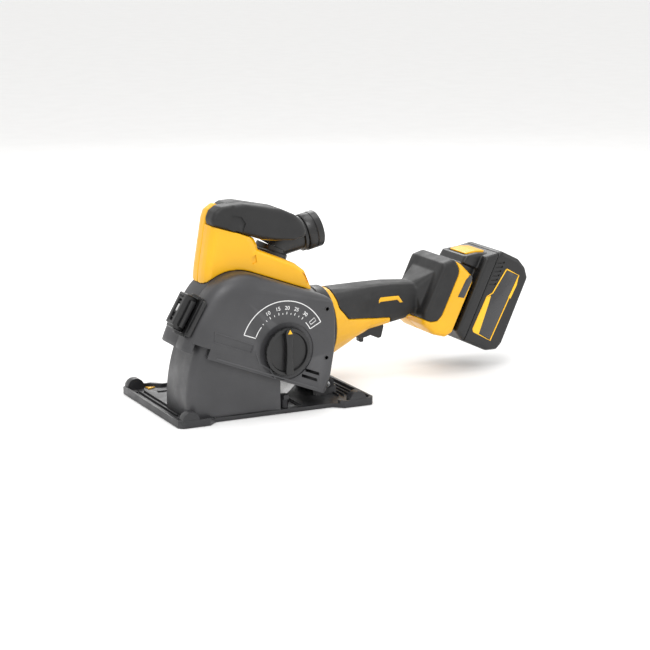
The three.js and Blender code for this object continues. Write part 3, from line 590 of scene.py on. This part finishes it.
def make_cover_knuckle():
    """The cover's own knuckle on the upright hinge, between the guard's two."""
    knuckle = hinge_knuckle("cover_knuckle", 62, 78)
    lug = prism("lug", [(80.2, 62.4), (86, 62.4), (86, 77.6), (80.2, 77.6)], -50.3, -47.3)
    bevel(lug, 0.5)
    show(merged("cover_knuckle", knuckle, lug), "guard_paint", "cover")


SCALE_CENTRE = (19.6, 73.5)
SCALE_OUTER, SCALE_INNER, SCALE_TEXT = 47.7, 33.9, 40.2
SCALE_START, SCALE_END = 160, 27
NUMBERS = {10: 116, 15: 99, 20: 84, 25: 68.5, 30: 52}  # millimetres of depth: degrees round the scale
SHORT_MARKS = (132.5, 124, 107.5, 91.5, 76, 60)


def on_scale(radius, degrees):
    return arc(SCALE_CENTRE, radius, degrees, degrees, 1)[0]


def make_scale():
    """The depth scale round the dial: an open band, marks and plain numbers, printed on the cover."""
    y = COVER_FACE - 0.02
    band = [
        strip("scale", arc(SCALE_CENTRE, SCALE_OUTER, SCALE_START, SCALE_END, 48), 0.9, y),
        strip("scale", arc(SCALE_CENTRE, SCALE_INNER, SCALE_START - 2, 138, 12), 0.8, y),
        strip("scale", arc(SCALE_CENTRE, SCALE_INNER, 42, SCALE_END, 8), 0.8, y),
    ]
    for degrees in (SCALE_START, SCALE_END):
        ends = [on_scale(r, degrees) for r in (SCALE_INNER, SCALE_OUTER)]
        band.append(strip("scale", ends, 0.8, y))
    for degrees in sorted([*NUMBERS.values(), *SHORT_MARKS], reverse=True):
        ends = [on_scale(r, degrees) for r in (33.6, 35.2 if degrees in SHORT_MARKS else 36.2)]
        band.append(strip("scale", ends, 0.6, y))
    slot = [on_scale(r, 35 + d) for r, d in ((37, -2.4), (44, -2.4), (44, 2.4), (37, 2.4))]
    band.append(strip("scale", [*slot, slot[0]], 0.6, y))
    show(merged("depth_scale", *band), "pale_plastic", "cover", material=white_print)
    for number, degrees in NUMBERS.items():
        put_text(f"depth_{number}", str(number), on_scale(SCALE_TEXT, degrees), 5.6, 90 - degrees)


def put_text(name, words, spot, size, lean):
    """A number printed on the cover's face."""
    data = bpy.data.curves.new(name, "FONT")
    data.body = words
    data.size = size / 1000
    data.align_x = "CENTER"
    data.align_y = "CENTER"
    data.extrude = 0.0001
    text = bpy.data.objects.new(name, data)
    bpy.context.collection.objects.link(text)
    text.location = at(spot[0], COVER_FACE - 0.1, spot[1])
    text.rotation_euler = (math.radians(90), math.radians(lean), 0)
    text.data.materials.append(white_print)
    bpy.context.view_layer.update()
    graph = bpy.context.evaluated_depsgraph_get()
    mesh = bpy.data.meshes.new_from_object(text.evaluated_get(graph))
    mesh.transform(text.matrix_world)
    bpy.data.objects.remove(text)
    letters = bpy.data.objects.new(name, mesh)
    bpy.context.collection.objects.link(letters)
    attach(letters, "cover")


def make_cover_trim():
    """Moulded lines on the cover: a rib along the lower edge, a panel frame, a crease and two bosses."""
    y = COVER_FACE + 0.1
    lower = [(x, edge_height(x) + 3.2) for x in (-56, -20, 20, 58)]
    panel = [(-57.5, 96), (-14, 78), (-17.6, 69.8), (-58, 85.6)]
    lines = [
        strip("trim", lower, 1.4, y, 0.5),
        strip("trim", [*panel, panel[0]], 0.8, y, 0.5),
        strip("trim", [(-12, 70), (-8, 58), (4, 50), (10, 40)], 1.0, y, 0.4),
    ]
    boss = [(0, 3), (0.5, 2.8), (0.7, 2.2), (0.1, 1.8)]
    for x, z in ((69, 56), (70, 108)):
        lines.append(turned("trim", (x, y, z), (0, -1, 0), boss, 28))
    show(merged("cover_trim", *lines), "guard_paint", "cover")


def make_lower_guard():
    """The fixed guard: a curved front wall rounded into a flat side panel."""
    radius, near, far, wall, fillet = 173.4, -72, -12, 2.2, 10
    small = fillet - wall
    centre_r, centre_y = radius - fillet, near + fillet
    quarter = [math.pi / 2 * i / 8 for i in range(9)]
    section = [(60, near)]
    section += [(centre_r + fillet * math.sin(a), centre_y - fillet * math.cos(a)) for a in quarter]
    section += [(radius, far), (133, far), (133, far - wall), (radius - wall, far - wall)]
    section += [(centre_r + small * math.sin(a), centre_y - small * math.cos(a)) for a in quarter[::-1]]
    section += [(60, near + wall)]
    rings = []
    steps = 72
    for i in range(steps + 1):
        angle = math.radians(120 + 75 * i / steps)
        cosine, sine = math.cos(angle), math.sin(angle)
        rings.append([(PIVOT[0] + r * cosine, y, PIVOT[1] + r * sine) for r, y in section])
    shell = skin("lower_guard", rings)
    bottom = 5.1
    front, rear, top = -140, 120, 260
    upper_edge = [(x, edge_height(x) + 12) for x in (front, rear)]
    outside = [
        prism("tool", [(front, bottom), (rear, bottom), (rear, -60), (front, -60)], -100, 20),
        prism("tool", [(18, -80), (rear, -80), (rear, 250), (18, 250)], -101, 21),
        prism("tool", [*upper_edge, (rear, top), (front, top)], -102, 22),
    ]
    cut(shell, *outside)
    bevel(shell, 0.3)
    show(shell, "guard_paint", "base", ["lower_guard"])


# ---------- sole ----------
SOLE_TOP = 4.6


def make_sole():
    """The sole with rounded edges, four raised studs and short ribs across its ends."""
    sole = node_copy("sole", "sole_plate")
    bevel(sole, 0.7, 3, 28)
    stud = [(0, 4), (1.6, 3.8), (2.2, 3.2), (2.2, 1.6), (1.2, 1.2)]
    pads = []
    for y in (-60, 60):
        for x in (-94, 113):
            pads.append(turned("stud", (x, y, SOLE_TOP), (0, 0, 1), stud, 32))
    width, top = 1.6, SOLE_TOP + 2.6
    for x in (-90, -84, 96, 102, 108, 114):
        section = [(x, SOLE_TOP), (x + width, SOLE_TOP), (x + width, top), (x, top)]
        pads.append(bevel(prism("rib", section, -50, 58 if x < 0 else 70), 0.4))
    show(merged("sole", sole, *pads), "cast_sole", "base", ["sole_plate"])


def make_sole_arrow():
    """Yellow cutting-line mark at the front of the sole."""
    plan = [(-76, 66), (-66, 70), (-76, 74), (-73.5, 70)]
    faces = [(0, 1, 3), (1, 2, 3), (4, 7, 5), (5, 7, 6)]
    faces += [(0, 4, 5, 1), (1, 5, 6, 2), (2, 6, 7, 3), (3, 7, 4, 0)]
    arrow = mesh_object("sole_arrow", [(x, y, z) for z in (4.9, 6.2) for x, y in plan], faces)
    bevel(arrow, 0.25)
    show(arrow, "yellow_shell", "base")


# ---------- dial and latch ----------
def make_knob():
    """The depth dial: a dished disc with a fluted edge, a grip bar across it and a yellow pointer."""
    x, z = KNOB
    profile = [(0, 24.8), (0.6, 25.5), (3.4, 25.6), (4.6, 25.0), (5.0, 24.0)]
    profile += [(4.8, 21.6), (2.2, 20.6), (1.9, 12)]
    dish = turned("knob", (x, COVER_FACE - 0.3, z), (0, -1, 0), profile, 96)
    reach = 27.2
    cut(dish, *(disc_tool((x + reach * c, z + reach * s), BEFORE, -70, 2.5) for c, s in around(15, 12)))
    half_width = [(-24, 3.6), (-20, 4.5), (-8, 3.4), (0, 3.2), (8, 3.4), (20, 4.5), (24, 3.6)]
    plan = [(x + w, z + h) for h, w in half_width] + [(x - w, z + h) for h, w in half_width[::-1]]
    grip = bevel(prism("grip", plan, -85.7, -78), 1.4, 4)
    hub = disc_tool(KNOB, COVER_FACE - 0.4, COVER_FACE + 2.6, KNOB_HUB)
    show(merged("knob", dish, grip, hub), "black_shell", "dial", ["depth_knob"])
    top = [(x - 2.6, z + 19.8), (x + 2.6, z + 19.8), (x, z + 24.4)]
    pointer = bevel(prism("dial_pointer", top, -86, -85.5), 0.12)
    show(pointer, "yellow_shell", "dial")


def make_latch():
    """The cover's latch: a chunky lever over the split, with a window and two light inserts."""
    lever = block_on_front("latch", 190.5, 203.9, -19, 19, -58, -39.1)
    cut(lever, block_on_front("tool", 200, 210, -12, 12, -52, -44.2))
    cut(lever, block_on_front("tool", 201.5, 210, -20, -15.5, -60, -30))
    bevel(lever, 1.6, 4)
    root = bevel(block_on_front("root", 192.1, 197.9, -15, 15, -62, -57.6), 1.0, 3)
    ribs = [bevel(block_on_front("rib", 199, 202.6, a, a + 1.6, -51.6, -44.6), 0.4) for a in (-9, -3, 8)]
    show(merged("latch", lever, root, *ribs), "black_shell", "latch", ["cover_latch"])
    inserts = [
        bevel(block_on_front("insert", 199, 202.4, -1.2, 6.6, -50.5, -45.6), 0.4),
        bevel(block_on_front("insert", 203.2, 203.9, 13.6, 16.4, -54, -42), 0.25),
    ]
    show(merged("latch_insert", *inserts), "pale_plastic", "latch")
    bracket = node_copy("latch_bracket", "latch_bracket")
    bevel(bracket, 0.5, 3)
    show(bracket, "black_shell", "cover", ["latch_bracket"])
    side = bevel(block_on_front("side", 186, 190.1, -20, 20, -72.5, -66), 1.2, 3)
    show(side, "black_shell", "cover")
    keeper = block_on_front("keeper", 188.5, 193.9, -13.9, 13.9, -38.4, -31.1)
    bevel(keeper, 1.0, 3)
    show(keeper, "black_shell", "machine", ["latch_keeper"])


# ---------- front handle ----------
def make_pod():
    """The soft front grip: a rounded pod over the column, with a groove, a step and a screw well."""
    pod = node_copy("pod", "front_handle_grip")
    smoothed(pod, 0.75, 14)
    groove = prism("tool", [(-24, 230), (-24, 217), (2, 215), (2, 230)], -31.4, -29.9)
    step = prism("tool", [(-30, 196), (-13, 188), (-9, 200), (-14, 207), (-24, 209)], -55, -46.6)
    screw_well = turned("tool", (32, -25, 214), (-0.28, 0, -0.96), [(0, 3.4), (6, 3.4)], 32)
    cut(pod, groove, step, screw_well)
    show(pod, "black_rubber", "machine", ["front_handle_grip"])
    low = [(9.4, 180.9), (18, 179.5), (26.9, 178.4), (38, 177.8), (49.4, 177.2)]
    lip = [*((x, z + 1.2) for x, z in low), *((x, z - 0.2) for x, z in low[::-1])]
    under = prism("pod_lip", lip, -42, -9)
    bevel(under, 0.5, 3)
    show(under, "yellow_shell", "machine")


def make_front_frame():
    """Both halves of the yellow front handle, rounded like mouldings, with a seam between them."""
    for node in ("front_frame_near", "front_frame_far"):
        half = node_copy(node + "_shell", node)
        smoothed(half, 0.75, 12)
        if node == "front_frame_near":
            cut(half, prism("tool", [(-2, 163), (3, 166), (4, 158), (-1, 156)], -50, -44.6))
            cut(half, prism("tool", [(56, 143), (60, 140), (64, 131), (61, 131)], -50, -43.2))
        show(half, "yellow_shell", "machine", [node], angle=60)


# ---------- dust port ----------
PORT_BEND, PORT_MOUTH = Vector((49, 14, 165)), Vector((101.5, 14, 177))


def ring_about(centre, direction, radius):
    """Points of a circle square to a direction."""
    _, side, up = basis(direction)
    return [tuple(centre + (side * c + up * s) * radius) for c, s in around(56)]


def make_dust_port():
    """A short stub that bends into the port's tube, its loose collar with grip lugs, and its seat."""
    stub = Vector((4.5, 0, 13)).normalized()
    tube = (PORT_MOUTH - PORT_BEND).normalized()
    path = [(PORT_BEND - stub * (13.4 - 1.2 * i), stub) for i in range(7)]
    for share in (i / 9 for i in range(1, 9)):
        way = stub.lerp(tube, share).normalized()
        path.append((PORT_BEND - stub * 4 * (1 - share) + tube * 5 * share, way))
    path += [(PORT_BEND + tube * d, tube) for d in (8, 20, 31)]
    outer = [ring_about(p, d, 15.2 + min(1.7, 0.35 * i)) for i, (p, d) in enumerate(path)]
    steps = [(32, 19.2), (35.2, 19.2), (36, 17.1), (52.5, 17.1), (53.6, 16.4), (53.6, 14.6)]
    outer += [ring_about(PORT_BEND + tube * d, tube, r) for d, r in steps]
    inner = [ring_about(p, d, 12 + min(2.5, 0.3 * i)) for i, (p, d) in enumerate(path)]
    port = skin("dust_port", [*outer, *inner[::-1]], loop=True)
    show(port, "black_shell", "port", ["dust_port"])
    profile = [(36.6, 17.7), (36.6, 19.6), (37.4, 20.2), (45, 20.2), (45.6, 19.5)]
    profile += [(46.4, 19.5), (47, 20.2), (53.6, 20.2), (54.3, 19.6), (54.3, 17.7)]
    collar = turned("port_collar", PORT_BEND, tube, profile, 96, True)
    _, side, up = basis(tube)
    lug = [(0, 0.5), (0.6, 1.0), (6, 1.0), (6.6, 0.5)]
    places = [PORT_BEND + tube * 38 + (side * c + up * s) * 19.3 for c, s in around(12)]
    lugs = [turned("lug", place, tube, lug, 16) for place in places]
    show(merged("port_collar", collar, *lugs), "black_shell", "collar", ["port_collar"])
    rim = [(-2, 17.4), (-2, 20), (3.4, 19.6), (4.2, 18.8), (4.2, 17.4)]
    seat = turned("port_seat", PORT_BEND - stub * 12, stub, rim, 72, True)
    show(seat, "black_shell", "machine")


# ---------- motor housing and gear case ----------
MOTOR_Y, MOTOR_Z = 32, 67.5
ALONG_MOTOR = (1, 0, 0)
GEAR_FACE = 56.8


def on_motor(x, radius, start, count):
    """Places round the motor's axis."""
    return [(x, MOTOR_Y + radius * c, MOTOR_Z + radius * s) for c, s in around(count, start)]


def make_motor_housing():
    """The motor's black collar, ribbed at the front, with a grooved band and four screw bosses."""
    profile = [(46, 34.2), (46, 36.8), (46.8, 37.4), (89, 37.4), (91.4, 38.6), (92.2, 41.3), (93.2, 41.9)]
    profile += [(99, 41.9), (100, 40.6), (102.6, 40.6), (103.6, 41.9)]
    profile += [(113.6, 41.9), (115.4, 41), (115.8, 39.8), (115.8, 34.2)]
    tube = turned("motor_housing", (0, MOTOR_Y, MOTOR_Z), ALONG_MOTOR, profile, 96, True)
    fin = [(0, 0.2), (0.8, 0.8), (26, 0.8), (26.8, 0.2)]
    fins = [turned("fin", place, ALONG_MOTOR, fin, 10) for place in on_motor(60, 37.2, 0, 36)]
    boss = [(-5, 1.2), (-5, 3.1), (-0.6, 3.1), (0, 2.8), (0, 0.1)]
    bosses = [turned("screw_boss", place, ALONG_MOTOR, boss, 28) for place in on_motor(92, 38.2, 45, 4)]
    show(merged("motor_housing", tube, *fins, *bosses), "black_shell", "machine", ["motor_housing"])


def make_gear_case():
    """The gear case with a ringed cap and four screws on its far face."""
    case = node_copy("gear_case", "gear_case")
    smoothed(case, 0.8, 6)
    x, z = SPINDLE
    ringed = [(0, 18.5), (-0.4, 18), (0, 17), (0, 10), (-0.5, 9.5), (-0.5, 0.2)]
    cap = turned("gear_cap", (x, GEAR_FACE, z), (0, 1, 0), ringed, 64)
    screw = [(0, 0.3), (0, 2.2), (0.3, 2.5), (3, 2.5)]
    places = [(x + 19.8 * c, GEAR_FACE + 0.1, z + 19.8 * s) for c, s in around(4, 45)]
    screws = [turned("screw", place, (0, -1, 0), screw, 24) for place in places]
    show(case, "gear_alloy", "machine", ["gear_case"], angle=60)
    show(cap, "gear_alloy", "machine")
    show(merged("gear_screws", *screws), "bare_steel", "machine")


# ---------- rear handle and foot ----------
def make_rear_handle():
    """Yellow shell halves with their seam, and one soft skin moulded over both."""
    for node in ("housing_near", "housing_far"):
        shell = node_copy(node + "_shell", node)
        smoothed(shell, 0.7, 14)
        show(shell, "yellow_shell", "machine", [node], angle=60)
    halves = ("overmould_near", "overmould_far")
    skin_of_grip = merged("grip_skin", *(node_copy(node + "_shell", node) for node in halves))
    smoothed(skin_of_grip, 0.75, 24)
    show(skin_of_grip, "black_rubber", "machine", halves, angle=60)


def make_trigger():
    """The trigger and the small lever below it."""
    paddle = node_copy("trigger_shell", "trigger_paddle")
    smoothed(paddle, 0.45, 6)
    show(paddle, "black_shell", "trigger", ["trigger_paddle"], angle=60)
    peg = node_copy("lever_shell", "lock_off_lever")
    smoothed(peg, 0.4, 4)
    show(peg, "black_shell", "lock_off", ["lock_off_lever"], angle=60)


# ---------- battery ----------
TILT = math.radians(25)
PACK_ORIGIN = Vector((262, 0, 53.9))
PACK_OUT = Vector((math.cos(TILT), 0, -math.sin(TILT)))
PACK_UP = Vector((math.sin(TILT), 0, math.cos(TILT)))
PACK_NEAR = -7


def pack_point(out, along):
    """A point in the battery's own tilted plane: distance out from the foot, and up along it."""
    p = PACK_ORIGIN + PACK_OUT * out + PACK_UP * along
    return (p.x, p.z)


def pack_prism(name, points, y0, y1):
    return prism(name, [pack_point(*p) for p in points], y0, y1)


def make_battery():
    """The battery: smoothed base and cup with slots, a blank framed label and the release button."""
    base = node_copy("battery_base_shell", "battery_base")
    smoothed(base, 0.8, 6)
    show(base, "black_shell", "battery", ["battery_base"], angle=60)
    cup = node_copy("battery_cup_shell", "battery_cup")
    smoothed(cup, 0.8, 6)
    vents = []
    for along in (60 + 5.2 * i for i in range(6)):
        corners = [(22.5, along), (30.5, along + 3.2), (30.5, along + 5.4), (22.5, along + 2.2)]
        vents.append(pack_prism("tool", corners, PACK_NEAR - 2, PACK_NEAR + 1.2))
    notches = []
    for along in (14 + 11 * i for i in range(6)):
        corners = [(67.4, along), (72, along), (72, along + 3.4), (67.4, along + 3.4)]
        notches.append(pack_prism("tool", corners, -4, 3))
    cut(cup, *vents, *notches)
    show(cup, "black_shell", "battery", ["battery_cup"], angle=50)
    y = PACK_NEAR - 0.3
    edge = [(330.6, 115.1), (346.8, 106.4), (310.2, 34.6), (288.6, 47.2)]
    edge += [(287.6, 50), (305.5, 85.9), (312.8, 89.3)]
    panel = bevel(prism("battery_label", grown(edge, -1.2), y - 0.02, y + 1), 0.1)
    show(panel, "black_shell", "battery", material=badge_face)
    show(strip("label_frame", [*edge, edge[0]], 1.5, y, 0.03), "yellow_shell", "battery")
    low_wedge = [(305.5, 85.1), (310.6, 86.6), (307.5, 76.9), (295.3, 43.6), (288.6, 47.4), (287.8, 50)]
    top_wedge = [(346.6, 105.5), (340.4, 94.2), (333.4, 82.4), (336.1, 80.6), (344.2, 95.4)]
    blocks = [prism("label_block", wedge, y - 0.035, y + 0.5) for wedge in (low_wedge, top_wedge)]
    show(merged("label_blocks", *blocks), "yellow_shell", "battery")
    button = node_copy("release_shell", "battery_release_button")
    smoothed(button, 0.5, 6)
    show(button, "yellow_shell", "release", ["battery_release_button"], angle=60)


def make_badges():
    """Blank panels where such tools carry marks."""
    y = PACK_NEAR - 0.25
    shape = [(283.4, 112.4), (285.9, 109.6), (284.9, 104.6), (275.4, 87), (267.6, 89), (277.7, 107.6)]
    plate = bevel(prism("foot_badge", shape, y - 0.05, y + 1.6), 0.05)
    show(plate, "black_shell", "machine", material=badge_face)
    tab = [(173.4, 83.3), (175.2, 89.4), (178.6, 93.5), (201.5, 93.3)]
    tab += [(206.9, 85.6), (203.4, 85.4), (200, 89), (178.8, 88.4)]
    mark = bevel(prism("grip_tab", tab, 9.6, 13), 0.4)
    show(mark, "yellow_shell", "machine")


# ---------- blades, rollers and small hardware ----------
def make_blade(node, y):
    """A diamond disc: a thin steel body and a segmented rim, its gaps ending in round holes."""
    profile = [(-0.9, 6.4), (-0.9, 54.6), (-1.1, 55), (-1.1, 62.1), (-0.8, 62.45), (0.8, 62.45)]
    profile += [(1.1, 62.1), (1.1, 55), (0.9, 54.6), (0.9, 6.4)]
    disc = turned("blade", (SPINDLE[0], y, SPINDLE[1]), (0, 1, 0), profile, 144, True)
    x, z = SPINDLE
    gap = ((56, -0.8), (64, -0.8), (64, 0.8), (56, 0.8))
    gaps = []
    for c, s in around(12):
        corners = [(x + c * r - s * w, z + s * r + c * w) for r, w in gap]
        gaps.append(prism("tool", corners, y - 3, y + 3))
        gaps.append(disc_tool((x + c * 55.4, z + s * 55.4), y - 3, y + 3, 1.5))
    cut(disc, *gaps)
    show(disc, "blade_steel", "blade_spindle", [node])


ROLLER_AXLE = 7.2


def make_rollers():
    """Four rollers, each with a dished side and a rounded tread."""
    half = [(-3.05, 2.35), (-3.05, 3.6), (-2.5, 4), (-2.5, 5.6), (-3.05, 6), (-2.9, 6.8), (-2.4, 7.15)]
    section = half + [(-d, r) for d, r in half[::-1]]
    for x, place in ((-87, "front"), (104, "rear")):
        for y, side in ((-77.4, "near"), (77.4, "far")):
            node = f"roller_{place}_{side}"
            wheel = turned(node + "_wheel", (x, y, ROLLER_AXLE), (0, 1, 0), section, 64, True)
            show(wheel, "black_shell", node, [node])


BEVELLED = {  # body: node and bevel
    "machine": {
        "spindle_bearing_cap": 0.6,
        "spindle_bearing": 0.3,
        "cover_hinge_pin": 0.4,
        "motor_stator": 0.8,
        "rotor_bearing": 0.3,
        "switch_module": 0.8,
        "motor_controller": 0.8,
        "battery_terminal": 0.5,
    },
    "base": {
        "depth_stop_post": 0.6,
        "plunge_pivot_pin": 0.7,
        "plunge_spring": 0.4,
        "roller_axle_front_near": 0.3,
        "roller_axle_front_far": 0.3,
        "roller_axle_rear_near": 0.3,
        "roller_axle_rear_far": 0.3,
    },
    "blade_spindle": {
        "spindle": 0.6,
        "bevel_gear": 0.6,
        "inner_flange": 0.8,
        "spacer_wide": 0.5,
        "spacer_narrow": 0.5,
        "flange_nut": 0.8,
    },
    "rotor": {"rotor_shaft": 0.4, "rotor_core": 0.5, "cooling_fan": 0.5, "motor_pinion": 0.4},
    "spindle_lock": {"spindle_lock_button": 0.6},
    "dial": {"depth_cam": 0.2},
    "battery": {"cell_pack": 1.0},
}


def make_hardware():
    """The remaining parts keep their built shapes, with every hard edge broken."""
    for body, parts in BEVELLED.items():
        for node, width in parts.items():
            copy = node_copy(node + "_part", node)
            bevel(copy, width, 3, 30)
            dull = MATERIALS["gear_alloy"] if node == "depth_stop_post" else None
            show(copy, SLOTS[node], body, [node], material=dull)


add_camera()
add_studio()
dress_cad_nodes()
make_guard_cover()
make_cover_knuckle()
make_cover_trim()
make_scale()
make_guard_body()
make_lower_guard()
make_sole()
make_sole_arrow()
make_knob()
make_latch()
make_pod()
make_front_frame()
make_dust_port()
make_motor_housing()
make_gear_case()
make_rear_handle()
make_trigger()
make_battery()
make_badges()
make_blade("blade_inner", -28)
make_blade("blade_outer", -57)
make_rollers()
make_hardware()
add_floor()
